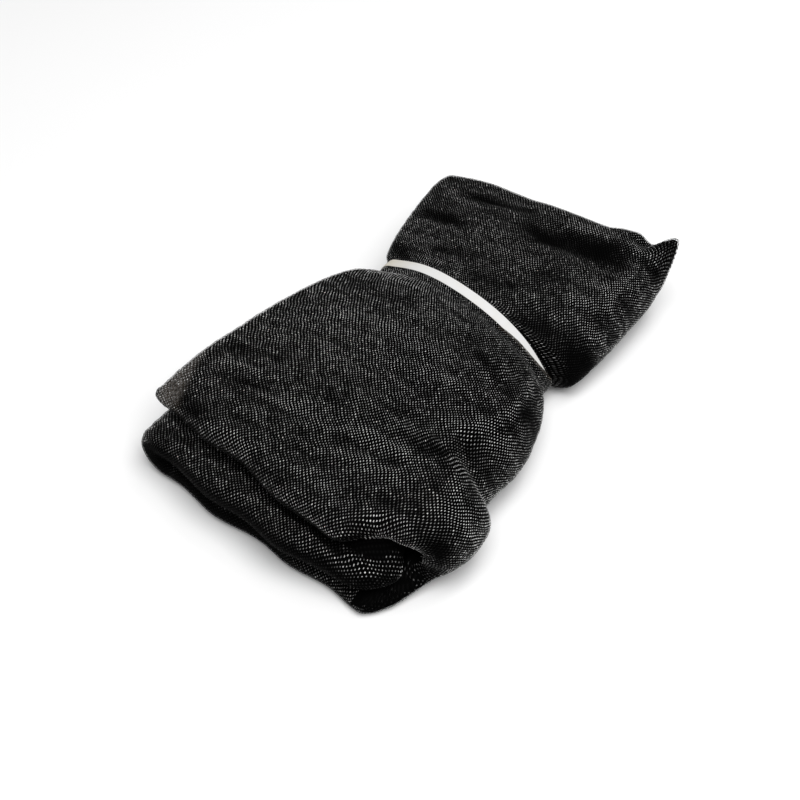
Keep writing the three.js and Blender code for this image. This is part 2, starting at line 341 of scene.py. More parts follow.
# Middle line of the pad at a place along its folded length: place across, place up, and the angle its outer
# face looks at; straight runs and round turns one after another
def padLine(at):
    flat = np.zeros_like(at)
    low, middle = halfPad, sectionHeight / 2
    spineAngle = np.pi / 2 + (at - spineStart) / spineRadius
    foldAngle = -np.pi / 2 + (at - foldStart) / foldRadius
    part = [at < spineStart, at < lowerStart, at < foldStart, at < middleStart]
    spineW = spineAt + spineRadius * np.cos(spineAngle)
    foldW = foldAt + foldRadius * np.cos(foldAngle)
    spineC = middle + spineRadius * np.sin(spineAngle)
    foldC = (low + middle) / 2 + foldRadius * np.sin(foldAngle)
    topW, lowerW, middleW = pad["halfWidth"] - at, spineAt + at - lowerStart, foldAt - at + middleStart
    w = np.select(part, [topW, spineW, lowerW, foldW], middleW)
    c = np.select(part, [flat + sectionHeight - halfPad, spineC, flat + low, foldC], middle)
    angle = np.select(part, [flat + np.pi / 2, spineAngle, flat - np.pi / 2, foldAngle], np.pi / 2)
    return w, c, angle


# Front and far end of the pad's strip at a place along its folded length: the table's columns, with round
# corners at the free edges and a low sine wave at the front
def stripEnds(at):
    toEdge = np.clip(np.minimum(at, padLength - at) / pad["corner"], 0, 1)
    corner = pad["corner"] * (1 - np.sqrt(np.clip(1 - (1 - toEdge) ** 2, 0, 1)))
    wave = pad["waveDepth"] * np.sin(2 * np.pi * at / pad["waveLength"])
    return readColumn(ends, "at", "front", at) + corner + wave, readColumn(ends, "at", "far", at) - corner


# A point of the pad's surface. s runs across the net along its folds, and goes round the free edges below 0
# and past netLength; along runs lengthwise, is x on the outer face and goes round both lips; off is the
# height over the face. Edges and lips are quarter turns of a circle between straight runs
def padPoint(s, along, off):
    s, along, off = np.broadcast_arrays(s, along, off)
    under = (s < 0) | (s > netLength)
    s = np.where(s > netLength, 2 * netLength - s, np.abs(s))
    edge1 = np.clip(s / edgeArc, 0, 1) * np.pi / 2
    edge2 = np.clip((netLength - s) / edgeArc, 0, 1) * np.pi / 2
    middle = np.clip(s - edgeArc, 0, padLength - pad["thick"])
    at = halfPad * (1 - np.cos(edge1)) + middle + halfPad * np.cos(edge2)
    front, far = stripEnds(at)
    straight = far - front - 2 * pad["lip"]
    total = straight + 2 * lipArc
    fromTip = along - front - pad["lip"] + lipArc  # unrolled distance from the front tip
    past = fromTip > total
    inner = past | (fromTip < 0)
    distance = np.where(past, 2 * total - fromTip, np.abs(fromTip))
    turn1 = np.clip(distance / lipArc, 0, 1) * np.pi / 2
    turn2 = np.clip((distance - lipArc - straight) / lipArc, 0, 1) * np.pi / 2
    radius = pad["lip"] + off
    level = np.clip(distance - lipArc, 0, straight)
    x = front + pad["lip"] - radius * np.cos(turn1) + level + radius * np.sin(turn2)
    side = np.where(inner ^ under, -1.0, 1.0)
    h = side * (halfPad + off) * (np.sin(turn1) + np.cos(turn2) - 1) * np.sin(edge1) * np.sin(edge2)
    proud = off * (np.cos(edge2) - np.cos(edge1))
    w, c, angle = padLine(at)
    flare = readColumn(ends, "at", "flare", at) * np.exp(-(((x - front) / pad["flareLength"]) ** 2))
    w = w + flare + h * np.cos(angle) - proud * np.sin(angle)
    return drape(x, w, c + h * np.sin(angle) + proud * np.cos(angle))


# A mesh object from points and faces; maps holds each point's place on the flat net or tape
def addPiece(name, points, faces, finish, maps):
    mesh = bpy.data.meshes.new(name)
    mesh.vertices.add(len(points))
    mesh.vertices.foreach_set("co", points.astype(np.float32).ravel())
    mesh.loops.add(faces.size)
    mesh.loops.foreach_set("vertex_index", faces.astype(np.int32).ravel())
    mesh.polygons.add(len(faces))
    mesh.polygons.foreach_set("loop_start", np.arange(0, faces.size, faces.shape[1], dtype=np.int32))
    mesh.update(calc_edges=True)
    for mapName, places in maps.items():
        layer = mesh.uv_layers.new(name=mapName)
        layer.uv.foreach_set("vector", places[faces.ravel()].astype(np.float32).ravel())
    mesh.shade_smooth()
    mesh.materials.append(finish.material)
    piece = bpy.data.objects.new(name, mesh)
    bpy.context.scene.collection.objects.link(piece)
    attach(piece, "root")
    print(f"{name}: {len(points)} points, {len(faces)} faces")
    return piece


# Quads of a grid of rows by columns; closed joins the last row or column to the first
def gridFaces(rows, columns, closedRows=False, closedColumns=False):
    i = np.arange(rows if closedRows else rows - 1)[:, None]
    j = np.arange(columns if closedColumns else columns - 1)[None, :]
    i2, j2 = (i + 1) % rows, (j + 1) % columns
    corners = [i * columns + j, i2 * columns + j, i2 * columns + j2, i * columns + j2]
    return np.stack(corners, -1).reshape(-1, 4)


# Places scaled to fill a square map, but for a margin
def fillMap(places, margin=0.01):
    low, high = places.min(0), places.max(0)
    return margin + (1 - 2 * margin) * (places - low) / (high - low)


bakeMap = "OFBake"
edgeArc = np.pi / 2 * halfPad
netLength = padLength - pad["thick"] + 2 * edgeArc

# Finer creases of the outer face on the unrolled net, each from (x0, s0) to (x1, s1), half width and depth;
# a depth below zero is a ridge
wrinkles = table(
    "x0 s0 x1 s1 wide deep",
    [
        (206, 68, 225, 125, 8, 2.6),
        (156, 34, 156, 82, 8, 2.2),
        (106, 79, 115, 123, 9, 1),
        (197, 157, 222, 235, 15, 3.2),
        (186, 171, 221, 220, 10, 1.5),
        (78, 219, 90, 240, 9, 2.4),
        (94, 147, 106, 179, 8, 1.2),
        (138, 199, 150, 223, 8, 1.2),
        (233, 263, 234, 275, 7, 1.6),
        (176, 267, 179, 286, 7, 1.8),
        (140, 266, 145, 283, 6, 1.5),
        (201, 40, 190, 71, 9, -1),
        (237, 187, 243, 218, 7, -1.3),
        (242, 247, 241, 263, 6, -1.2),
        (157, 228, 181, 264, 9, -1),
        (132, 242, 160, 265, 6, -1),
        (108, 245, 125, 263, 7, -1.1),
        (108, 258, 128, 275, 5, -0.8),
        (152, 108, 145, 180, 14, -0.5),
        (84, 78, 74, 154, 10, -0.4),
        (-129, 34, -122, 76, 7, 1.4),
        (-166, 52, -167, 82, 8, 1.2),
        (-204, 29, -217, 55, 11, 1.6),
        (10, 198, 6, 219, 8, 1.1),
        (0, 216, -1, 232, 7, 1),
        (-10, 243, -17, 249, 6, 1.4),
        (-134, 221, -123, 242, 8, 1.4),
        (-59, 223, -53, 242, 8, 0.9),
        (-210, 202, -202, 241, 5, 0.9),
        (-214, 210, -192, 245, 5, 0.6),
        (-94, 254, -93, 278, 9, 1.2),
        (8, 74, 12, 121, 6, 1.1),
        (14, 29, 10, 64, 7, 1.1),
        (-230, 126, -236, 158, 6, 0.7),
        (-201, 147, -205, 184, 6, 0.6),
        (-171, 168, -164, 219, 3.5, 0.9),
        (-163, 71, -159, 103, 4, 0.7),
        (-131, 104, -125, 147, 7, 0.6),
        (-116, 178, -106, 219, 6, 0.6),
        (-87, 176, -78, 206, 8, 0.5),
        (-181, 108, -183, 139, 5, 0.6),
        (-197, 70, -202, 97, 6, 0.6),
        (-163, 23, -148, 27, 5, 0.5),
        (-38, 73, -36, 122, 14, -0.6),
        (-160, 112, -167, 158, 6, -0.7),
        (-155, 172, -150, 220, 6, -1.3),
        (-180, 193, -175, 231, 6, -0.9),
        (-223, 89, -226, 120, 6, -1),
        (-153, 37, -147, 75, 4, -1),
        (-169, 79, -168, 125, 4, -0.8),
        (-83, 248, -67, 262, 8, -1),
        (-176, 256, -168, 274, 8, -1.1),
        (-221, 233, -204, 254, 4.5, -1.1),
        (18, 129, 24, 163, 4, -0.8),
        (-127, 249, -162, 263, 5, -0.8),
        (-51, 189, -48, 219, 7, -0.6),
        (-86, 92, -92, 129, 8, -0.3),
        (-36, 145, -23, 182, 10, -0.3),
        (-221, 165, -223, 196, 5, -0.6),
        (104, 12, 84, 40, 9, 2),
        (-200, 252, -135, 247, 3, 0.7),
        (-128, 240, -100, 256, 3, 0.7),
        (-86, 252, -20, 266, 3, 0.8),
        (-60, 250, 30, 256, 3, 0.7),
        (-50, 264, 40, 274, 3.5, 0.9),
        (-150, 262, -110, 268, 3, 0.7),
        (-90, 246, -50, 256, 3, -1),
        (-40, 257, 25, 263, 3, -1),
        (160, 262, 240, 256, 3, -0.8),
        (170, 248, 236, 246, 3, 0.9),
        (-224, 625, -236, 735, 4, 0.8),
        (-236, 690, -240, 760, 5, -1),
        (-10, 268, -10, 289, 9, 1.6),
    ],
)
# Low streaks across the net
streaks = {
    "high": 0.26,
    "narrow": (13.0, 0.05, 4.0, 31.0),  # length, slant, bend and the bend's length
    "broad": (29.0, -0.11, 6.0, 47.0),
    "narrowFade": (23.0, 19.0),  # lengths across and along of the waves that the streaks fade in
    "broadFade": (29.0, -41.0),
    "break1": (11.0, 17.0),  # and of the two waves that break up the wrinkles
    "break2": (-23.0, 9.0),
}


# Place along the pad's folded length that belongs to a place across the net
def padAt(s):
    return np.clip(s - edgeArc + halfPad, 0, padLength)


# The front and far tips of the lips at a place across the net, as places along it
def lipTips(s):
    front, far = stripEnds(padAt(s))
    return front + pad["lip"] - lipArc, far - pad["lip"] + lipArc


# The tape's x at a place across the net: its own x plus its slant times the distance from the middle
def tapeAt(s):
    w, c, angle = padLine(padAt(s))
    return tape["x"] + tape["slant"] * (w + halfPad * np.cos(angle))


# One near the tape's middle line, falling off steeply to none at a length from it
def nearTape(s, along, length):
    return np.exp(-(((along - tapeAt(s)) / length) ** 4))


# A set of streaks: a sine along the net, slanted and bent
def streak(s, along, name):
    length, slant, bend, bendLength = streaks[name]
    return np.sin(2 * np.pi / length * (along + slant * s + bend * np.sin(s / bendLength)))


# A plain slanting wave: a sine of the places across and along, each over its length
def slantWave(s, along, name):
    lengthS, lengthX = streaks[name]
    return np.sin(s / lengthS + along / lengthX)


# Unevenness of the outer face: the wrinkles' bells, broken up by the product of two waves, and two sets of
# streaks that fade in and out, none of it at the tape
def uneven(s, along):
    narrow = streak(s, along, "narrow") * (0.6 + 0.4 * slantWave(s, along, "narrowFade"))
    broad = streak(s, along, "broad") * slantWave(s, along, "broadFade")
    broken = 0.85 + 0.4 * slantWave(s, along, "break1") * slantWave(s, along, "break2")
    height = streaks["high"] * (narrow + broad) - creaseDepth(along, s, wrinkles) * broken
    return height * (1 - nearTape(s, along, tape["smoothLength"]))


# Sum of bells over the unrolled net, each falling off with the squares of the distances across and along
def bells(s, along, rows):
    total = np.zeros(np.broadcast(s, along).shape)
    for s0, x0, wideS, wideX, high in zip(*rows.values()):
        total += high * np.exp(-(((s - s0) / wideS) ** 2) - ((along - x0) / wideX) ** 2)
    return total


# Places where the cloth stands loose: the far rim, the front left corner
loose = table(
    "s x wideS wideX off",
    [
        (45, 256, 34, 15, 1.0),
        (115, 260, 40, 15, 0.3),
        (185, 266, 36, 15, 1.0),
        (4, -216, 18, 16, 2.0),
    ],
)
# Edge of the see-through front left corner: the s that it reaches at each x, and at an x past the table
sheerCorner = table(
    "x s",
    [(-230, 36), (-214, 33), (-200, 29), (-187, 25), (-170, 20), (-150, 13), (-130, 2), (-105, -12)],
)
noCorner = -20.0
skin = {
    "step": 3.6,  # across the net
    "lipSteps": 6,
    "outerSteps": 140,
    "innerEach": 5,  # the inner side has every fifth of the outer steps, and all of them at the waist
    "waist": (0.57, 0.70),
    "dashLong": 5.2,  # dashes that show through the outer ply: length, row, wander, turn, wander's scale
    "dashRow": 4.4,
    "dashWander": 0.012,
    "dashTurn": 0.06,
    "wanderScale": 14.0,
    "ink": (0.0003, 0.0003, 0.0003),
    "dash": (0.0012, 0.0012, 0.0012),
    "cornerSoft": 9.0,  # width of the sheer corner's soft border
    "rimLong": 9.0,  # length of the sheer far rim, its range of s, how it fades there and how sheer it is
    "rimStart": 10.0,
    "rimStop": 236.0,
    "rimFade": 20.0,
    "rimShare": 0.5,
    "sheerColour": (0.062, 0.049, 0.037),
    "sheerLeast": 0.08,
    "sheerMost": 0.44,
}


# How sheer the cloth is, 0 to 1: all of the front left corner, and less along the far rim
def sheerness(s, along):
    tip1, tip2 = lipTips(s)
    reach = np.interp(tip1 + np.abs(along - tip1), sheerCorner["x"], sheerCorner["s"], right=noCorner)
    corner = np.clip((reach - s) / skin["cornerSoft"] + 0.5, 0, 1)
    rim = np.exp(-(((along - tip2) / skin["rimLong"]) ** 2))
    rim = rim * np.clip((s - skin["rimStart"]) / skin["rimFade"], 0, 1)
    rim = rim * np.clip((skin["rimStop"] - s) / skin["rimFade"], 0, 1)
    return np.maximum(corner, skin["rimShare"] * rim)


# The inner plies: black, with staggered rows of soft dashes that show through the outer ply; brown grey and
# see-through where sheer
def inkFinish():
    f = Finish("netInner", Specular_IOR_Level=0.02)
    net = f.add("ShaderNodeUVMap", {"uv_map": "net"}, {})
    sheerMap = f.add("ShaderNodeUVMap", {"uv_map": "sheer"}, {})
    sheer = f.add("ShaderNodeSeparateXYZ", {}, {"Vector": sheerMap})
    cloudy = {"Vector": net, "Scale": skin["wanderScale"], "Detail": 1.0}
    wander = f.add("ShaderNodeTexNoise", {}, cloudy, output="Color")
    reach = (skin["dashWander"], skin["dashWander"], 0)
    shifted = f.add("ShaderNodeVectorMath", {"operation": "MULTIPLY_ADD"}, {0: wander, 1: reach, 2: net})
    turned = f.add("ShaderNodeMapping", {}, {"Vector": shifted, "Rotation": (0, 0, skin["dashTurn"])})
    axes = {name: f.add("ShaderNodeSeparateXYZ", {}, {"Vector": turned}, output=name) for name in "XY"}
    waveX = (axes["X"] * (2 * np.pi / (skin["dashLong"] * mm))).cosine()
    waveY = (axes["Y"] * (2 * np.pi / (skin["dashRow"] * mm))).cosine()
    dash = (waveX * waveY).between(0.15, 0.85)
    cloud = f.noise(f.place(), 0.05).between(0.3, 0.7)
    speck = f.noise(f.place(), 0.0025, 3.0).between(0.35, 0.65)
    dark = f.blend(dash * (0.35 + 0.65 * cloud), skin["ink"], skin["dash"])
    f.set("Base Color", f.blend(sheer * (0.2 + 0.8 * speck), dark, skin["sheerColour"]))
    f.set("Alpha", 1 - sheer * (skin["sheerLeast"] + (skin["sheerMost"] - skin["sheerLeast"]) * speck))
    f.set("Roughness", 0.75 - 0.35 * dash)
    return f


# Maps of a piece of cloth: its places on the flat net, and how sheer it is
def clothMaps(s, along):
    places = np.stack([along, s + 0 * along], -1).reshape(-1, 2) * mm
    sheer = np.broadcast_to(sheerness(s, along), along.shape).reshape(-1, 1)
    return {"net": places, "sheer": np.hstack([sheer, 0 * sheer]), bakeMap: fillMap(places)}


inkCloth = inkFinish()


# The skin: a grid of rows across the net, each from the inside round the front lip and along the outside
def addSkin():
    s = np.linspace(0, netLength, int(netLength / skin["step"]) + 1)[:, None]
    front, far = stripEnds(padAt(s))
    straight = far - front - 2 * pad["lip"]
    lip = np.linspace(0, lipArc, skin["lipSteps"] + 1)[None, :]
    outer = np.linspace(0, 1, skin["outerSteps"] + 1)
    inner = outer[skin["innerEach"] * np.arange(1, len(outer) // skin["innerEach"])]
    inner = np.union1d(inner, outer[(outer > skin["waist"][0]) & (outer < skin["waist"][1])])
    side = lambda run: np.hstack([lip + 0 * s, lipArc + straight * run, lipArc + straight + lip])
    fromTip = np.hstack([-side(inner)[:, :0:-1], side(outer[1:-1])])
    along = fromTip + front + pad["lip"] - lipArc
    points = padPoint(s, along, uneven(s, along) + bells(s, along, loose)).reshape(-1, 3)
    return addPiece("netSkin", points, gridFaces(*along.shape), inkCloth, clothMaps(s, along))


netSkin = addSkin()

# The outer ply: a knitted mesh of thick straight stitches, joined by thin slanted threads
knit = {
    "period": 4.2,  # from stitch to stitch along the net
    "row": 1.75,  # from row to row; each row is shifted by half a period
    "stitchHalf": 0.62,  # half length of a stitch, and the radius of its bar across and up
    "stitchWide": 0.33,
    "stitchHigh": 0.28,
    "threadRadius": 0.13,
    "tuck": 0.1,  # how far a thread's ends go into the stitches, and how much lower they are
    "drop": 0.08,
    "lift": 0.9,  # height of the ply over the inner plies, and under the tape
    "pressedLift": 0.05,
    "tilt": 0.12,  # unevenness of the stitches' ends
    "drift": 2.6,  # pull of the slow waves, of the short ones across and along, and of the quick ones
    "sway": 0.6,
    "pull": 0.9,
    "wobble": 0.1,
    "seed": 5,
}
# Waves that pull the mesh out of true: length along, its bend and the bend's length across, then length
# across, its bend, the bend's length along and a phase
ripples = {
    "slow": (47.0, 0.9, 61.0, 83.0, 0.0, 1.0, 0.6),
    "short": (4.3, 2.1, 19.0, 7.7, 1.3, 23.0, 0.0),
    "shortAlong": (5.3, 1.7, 13.0, 6.1, 1.9, 21.0, 0.0),
    "quick": (1.9, 2.3, 3.1, 1.3, 2.0, 5.7, 0.0),
    "quickAlong": (2.1, 1.8, 4.7, 1.1, 2.2, 3.3, 0.0),
}
# Where the cloth lies over the tape: how far its edge is past the tape's middle at each s
overEdge = table(
    "s past",
    [
        (215, -9),
        (225, -6.5),
        (236, -4.5),
        (247, -2.5),
        (256, -0.5),
        (265, 2.5),
        (274, 6),
        (282, 8),
        (318, 8),
        (330, -10),
    ],
)
overTape = {
    "start": 20.0,  # how far before the tape's middle the cloth starts, and the length that it rises in
    "rise": 12.0,
    "off": 4.2,  # its height; the mesh is this much clear of it, where it is more than the least
    "clear": 0.5,
    "least": 0.05,
    "sheer": 4.0,  # width of its sheer edge
    "step": 2.0,  # across the net
    "columns": 16,
    "stripOff": 0.1,
    "inside": 0.01,  # keeps the strip's own edge inside the cloth
}
# Painted shading of the stitches by place: a share above zero paints shade where it falls, in hollows,
# crevices and on walls turned from the light; a share below zero paints light and makes them paler
paintedShading = table(
    "s x wideS wideX share",
    [
        (290, 95, 50, 28, 1.25),  # wall beside the tape
        (278, 258, 20, 18, 0.9),  # ear
        (322, -245, 20, 36, 1.0),  # hollow at the front
        (308, -206, 14, 14, 0.7),  # front curl
        (282, -199, 17, 15, 0.85),
        (585, -245, 24, 34, 0.45),  # fold on the left
        (420, -260, 90, 30, 1.15),  # lower lips
        (510, -260, 50, 30, 0.85),
        (322, -253, 5, 7, -0.3),
        (284, -25, 16, 45, 0.6),  # right wall
        (90, 180, 110, 70, 0.35),  # rear of the top
        (170, -120, 120, 130, -0.3),  # front of the top
        (790, -240, 20, 13, -0.5),  # inner lip
        (256, -65, 24, 60, -0.4),  # right shoulder
        (40, 210, 50, 50, 0.3),  # rear left corner
        (200, -180, 34, 32, -0.4),  # top before the front curl
        (272, -196, 12, 14, 0.5),  # face of the front curl
    ],
)
# Painted shade near the front lips: where paleness starts and the length it grows over, from the tip on the
# top run, from the tip on the fold and the middle run, and from the top run's front on the middle run below
# it, where it paints the shadow of the crevice
lips = {
    "topStart": -1.0,
    "topFade": 4.0,
    "start": 6.0,
    "fade": 9.0,
    "underStart": 0.0,
    "underFade": 3.0,
    "deeper": (620.0, 730.0),  # the painted shadow of the crevice goes from the first depth to the second between these s
    "depth": (0.3, 1.0),
    "least": 0.06,
}
# Black drawn plastic thread; the pale tone on the stitches is a painted highlight that stands for the
# thread's glints
thread = {
    "rough": 0.35,
    "shine": 0.03,
    "coat": 1.0,
    "coatRough": 0.18,
    "coatIor": 1.9,
    "usual": 0.38,  # share of the painted highlight's pale tone on a usual stitch, and the random spread round it
    "spread": 0.55,
    "least": 0.02,  # limits of what the painted shading leaves of it
    "most": 2.0,
    "glints": 0.04,  # share of stitches with a painted glint, and how much paler and wider they are
    "glintPale": 4.0,
    "glintSize": 1.5,
    "crest": 1.2,  # painted light on the crests and painted shade in the troughs, for each millimetre of height
    "glitterSize": 0.008,
    "black": (0.001, 0.001, 0.001),
    "pale": (0.92, 0.92, 0.91),
}
# Patches of mesh: their range of s, how far they reach from the tips over the outer side, None for the full
# length, and how far to the inner side at the front and at the far end
patches = [
    ("netPlyLeft", -24, 90, None, 12, 12),
    ("netPlyMiddle", 90, 172, None, 12, 12),
    ("netPlyRight", 172, 254, None, 12, 12),
    ("netPlySpine", 254, 338, None, 5, 14),
    ("netPlyFold", 540, 604, None, 20, 20),
    ("netLipsLower", 338, 540, 16, 34, 34),
    ("netLipsMiddle", 604, 750, 58, 24, 24),
    ("netLipsInner", 750, 818, 30, 24, 24),
]


# Height of the cloth that lies over the tape: a smooth step up, and none past its edge
def overHeight(s, along):
    past = along - tapeAt(s)
    start = overTape["start"]
    rise = np.clip((past + start) / overTape["rise"], 0, 1)
    inside = past <= np.interp(s, overEdge["s"], overEdge["past"], left=-start, right=-start)
    return overTape["off"] * rise * rise * (3 - 2 * rise) * inside


# Height of the outer ply over the inner ones: an even lift, bells where it stands loose, pressed flat under
# the tape but raised where the cloth lies over it
def plyLift(s, along):
    free = knit["lift"] + bells(s, along, loose)
    pressed = nearTape(s, along, tape["pressLength"])
    over = overHeight(s, along)
    under = free * (1 - pressed) + knit["pressedLift"] * pressed
    return uneven(s, along) + np.where(over > overTape["least"], over + overTape["clear"], under)


# The cloth over the tape: a strip of rows across the net, from before the tape to its slanting edge
def addOver():
    s = np.arange(overEdge["s"][0], overEdge["s"][-1] + 1, overTape["step"])[:, None]
    edge = np.interp(s, overEdge["s"], overEdge["past"])
    share = np.linspace(0, 1, overTape["columns"])[None, :]
    past = share * (edge + overTape["start"]) - overTape["start"]
    along = past + tapeAt(s)
    height = overHeight(s, along - overTape["inside"]) + overTape["stripOff"]
    points = padPoint(s, along, uneven(s, along) + height).reshape(-1, 3)
    maps = clothMaps(s, along)
    maps["sheer"][:, :1] = np.clip(1 - (edge - past) / overTape["sheer"], 0, 1).reshape(-1, 1)
    return addPiece("netOver", points, gridFaces(*along.shape), inkCloth, maps)


# One wave of the mesh: the product of a sine along and a sine across that bend one another
def ripple(s, along, name):
    longX, bendX, overS, longS, bendS, overX, phase = ripples[name]
    lengthwise = np.sin(along / longX + bendX * np.sin(s / overS))
    return lengthwise * np.sin(s / longS + bendS * np.sin(along / overX) + phase)


# A place on the outer ply, pulled out of true across and along by the sum of the waves
def plyPlace(s, along, drop=0.0):
    wave = {name: ripple(s, along, name) for name in ripples}
    across = knit["drift"] * wave["slow"] + knit["sway"] * wave["short"] + knit["wobble"] * wave["quick"]
    lengthwise = knit["pull"] * wave["shortAlong"] + knit["wobble"] * wave["quickAlong"]
    s, along = s + across, along + lengthwise
    return np.stack([s, along, plyLift(s, along) - drop], -1)


# How much longer the outer face is than the pad's middle line: by the radius at the spine and the fold
def stretch(s):
    at = padAt(s)
    spine = np.where((at > spineStart) & (at < lowerStart), halfPad / spineRadius, 0)
    fold = np.where((at > foldStart) & (at < middleStart), halfPad / foldRadius, 0)
    return 1 + spine + fold


# Share of paleness that the painted shade near the front lips leaves: straight ramps up from the least,
# painting shade at the tips and the shadow in the crevice under the top run
def lipShade(s, along):
    at = padAt(s)
    past = along - lipTips(s)[0]
    covered = stripEnds(pad["halfWidth"] - padLine(at)[0])[0] - along
    ramp = lambda distance, start, fade: np.clip((distance - lips[start]) / lips[fade], lips["least"], 1)
    dark = np.interp(s, lips["deeper"], lips["depth"]) * (at > middleStart)
    crevice = 1 - dark * (1 - ramp(covered, "underStart", "underFade"))
    top = np.where(s < spineStart, ramp(past, "topStart", "topFade"), 1)
    return np.where(s > foldStart, ramp(past, "start", "fade") * crevice, top)


# Three-sided bars between pairs of places on the net, each of two rings, with caps where both ends are free.
# Places are rows of (s, along, off), and the rings lie in the plane of across and off
def bars(start, stop, across, radiusOff, capped):
    turn = 2 * np.pi * np.arange(3) / 3 + np.pi / 2
    ring = np.cos(turn)[None, :, None] * across[:, None, :]
    ring = ring + np.sin(turn)[None, :, None] * np.array([0, 0, radiusOff])
    places = (np.stack([start, stop], 1)[:, :, None, :] + ring[:, None]).reshape(-1, 3)
    wall = [(0, 3, 4), (0, 4, 1), (1, 4, 5), (1, 5, 2), (2, 5, 3), (2, 3, 0)]
    caps = [(0, 1, 2), (5, 4, 3)] if capped else []
    faces = np.arange(len(start))[:, None, None] * 6 + np.array(wall + caps)
    return places, faces.reshape(-1, 3)


# Places of a patch's stitches: a staggered lattice, its rows set by the length of the outer face
def latticePlaces(fromS, toS, outerReach, frontReach, farReach):
    margin, step = 30, 0.25
    fine = np.arange(-margin, netLength + margin, step)
    run = np.cumsum(step * stretch(fine)) / knit["row"]
    row = np.arange(*np.ceil(np.interp([fromS, toS], fine, run)))[:, None]
    s = np.interp(row, run, fine)
    tip1, tip2 = lipTips(s)
    first = np.floor((tip1.min() - frontReach) / knit["period"])
    last = np.ceil((tip2.max() + farReach) / knit["period"])
    along = (np.arange(first, last)[None, :] + 0.5 * (row % 2)) * knit["period"]
    keep = (along >= tip1 - frontReach) & (along <= tip2 + farReach)
    if outerReach is not None:
        keep &= (along <= tip1 + outerReach) | (along >= tip2 - outerReach)
    return (s + 0 * along)[keep], along[keep]


# How pale each stitch is, and whether it glints, all of it a painted highlight: the usual share times what
# the painted shade at the lips and the painted shading leave, times a power of the crest's height that
# paints crests light and troughs dark, and a random spread
def paleness(s, along, rng):
    left = np.clip(1 - bells(s, along, paintedShading), thread["least"], thread["most"])
    usual = thread["usual"] * lipShade(s, along) * left
    # painted light on the crests and painted shade in the troughs of the uneven face
    usual = usual * np.exp(thread["crest"] * uneven(s, along))
    glint = rng.random(len(s)) < thread["glints"] * np.clip(usual / thread["usual"], 0, thread["most"])
    spread = np.exp(thread["spread"] * rng.standard_normal(len(s)))
    return np.clip(np.where(glint, thread["glintPale"], spread) * usual, 0, 1), glint


# A patch of mesh: a bar for each stitch, and from its far end a thin one to the next stitch on either side
def addMesh(name, fromS, toS, outerReach, frontReach, farReach, finish):
    s, along = latticePlaces(fromS, toS, outerReach, frontReach, farReach)
    rng = np.random.default_rng(knit["seed"] + len(s))
    half, wide, thin = knit["stitchHalf"], knit["stitchWide"], knit["threadRadius"]
    start, stop = plyPlace(s, along - half), plyPlace(s, along + half)
    start[:, 2] += knit["tilt"] * rng.standard_normal(len(s))
    stop[:, 2] += knit["tilt"] * rng.standard_normal(len(s))
    pale, glint = paleness(s, along, rng)
    scale, zero = 1 / stretch(s), 0 * s
    across = np.stack([scale * wide * np.where(glint, thread["glintSize"], 1), zero, zero], -1)
    groups = [bars(start, stop, across, knit["stitchHigh"], True)]
    leave, arrive = along + half - knit["tuck"], along + knit["period"] / 2 - half + knit["tuck"]
    for way in (-1, 1):
        begin = plyPlace(s + way * scale * wide / 2, leave, knit["drop"])
        end = plyPlace(s + way * scale * (knit["row"] - wide / 2), arrive, knit["drop"])
        groups.append(bars(begin, end, np.stack([zero, zero - way * thin, zero], -1), thin, False))
    counts = np.cumsum([0] + [len(p) for p, f in groups])
    places = np.vstack([p for p, f in groups])
    faces = np.vstack([f + n for (p, f), n in zip(groups, counts)])
    points = padPoint(places[:, 0], places[:, 1], places[:, 2])
    bright = np.zeros((len(places), 2))
    bright[: 6 * len(s), 0] = np.repeat(pale, 6)  # the six points of each stitch; the threads stay black
    maps = {"bright": bright, bakeMap: fillMap(places[:, 1::-1] * mm)}
    return addPiece(name, points, faces, finish, maps)


# Thread: black, blended to the pale tone of the painted highlight by the stitch's own share with a little
# painted glitter, and coated by it
def threadFinish(v):
    coat = {"Coat_Roughness": v["coatRough"], "Coat_IOR": v["coatIor"]}
    f = Finish("netThread", Roughness=v["rough"], Specular_IOR_Level=v["shine"], **coat)
    bright = f.add("ShaderNodeUVMap", {"uv_map": "bright"}, {})
    own = f.add("ShaderNodeSeparateXYZ", {}, {"Vector": bright}, output="X")
    glitter = f.noise(f.place(), v["glitterSize"], 1.0).between(0.35, 0.65)
    f.set("Base Color", f.blend(own * (0.75 + 0.4 * glitter), v["black"], v["pale"]))
    f.set("Coat Weight", v["coat"] * own)
    return f


blackThread = threadFinish(thread)
plies = [addMesh(*patch, blackThread) for patch in patches] + [addOver()]
for piece in [netSkin, *plies]:
    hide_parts("net")


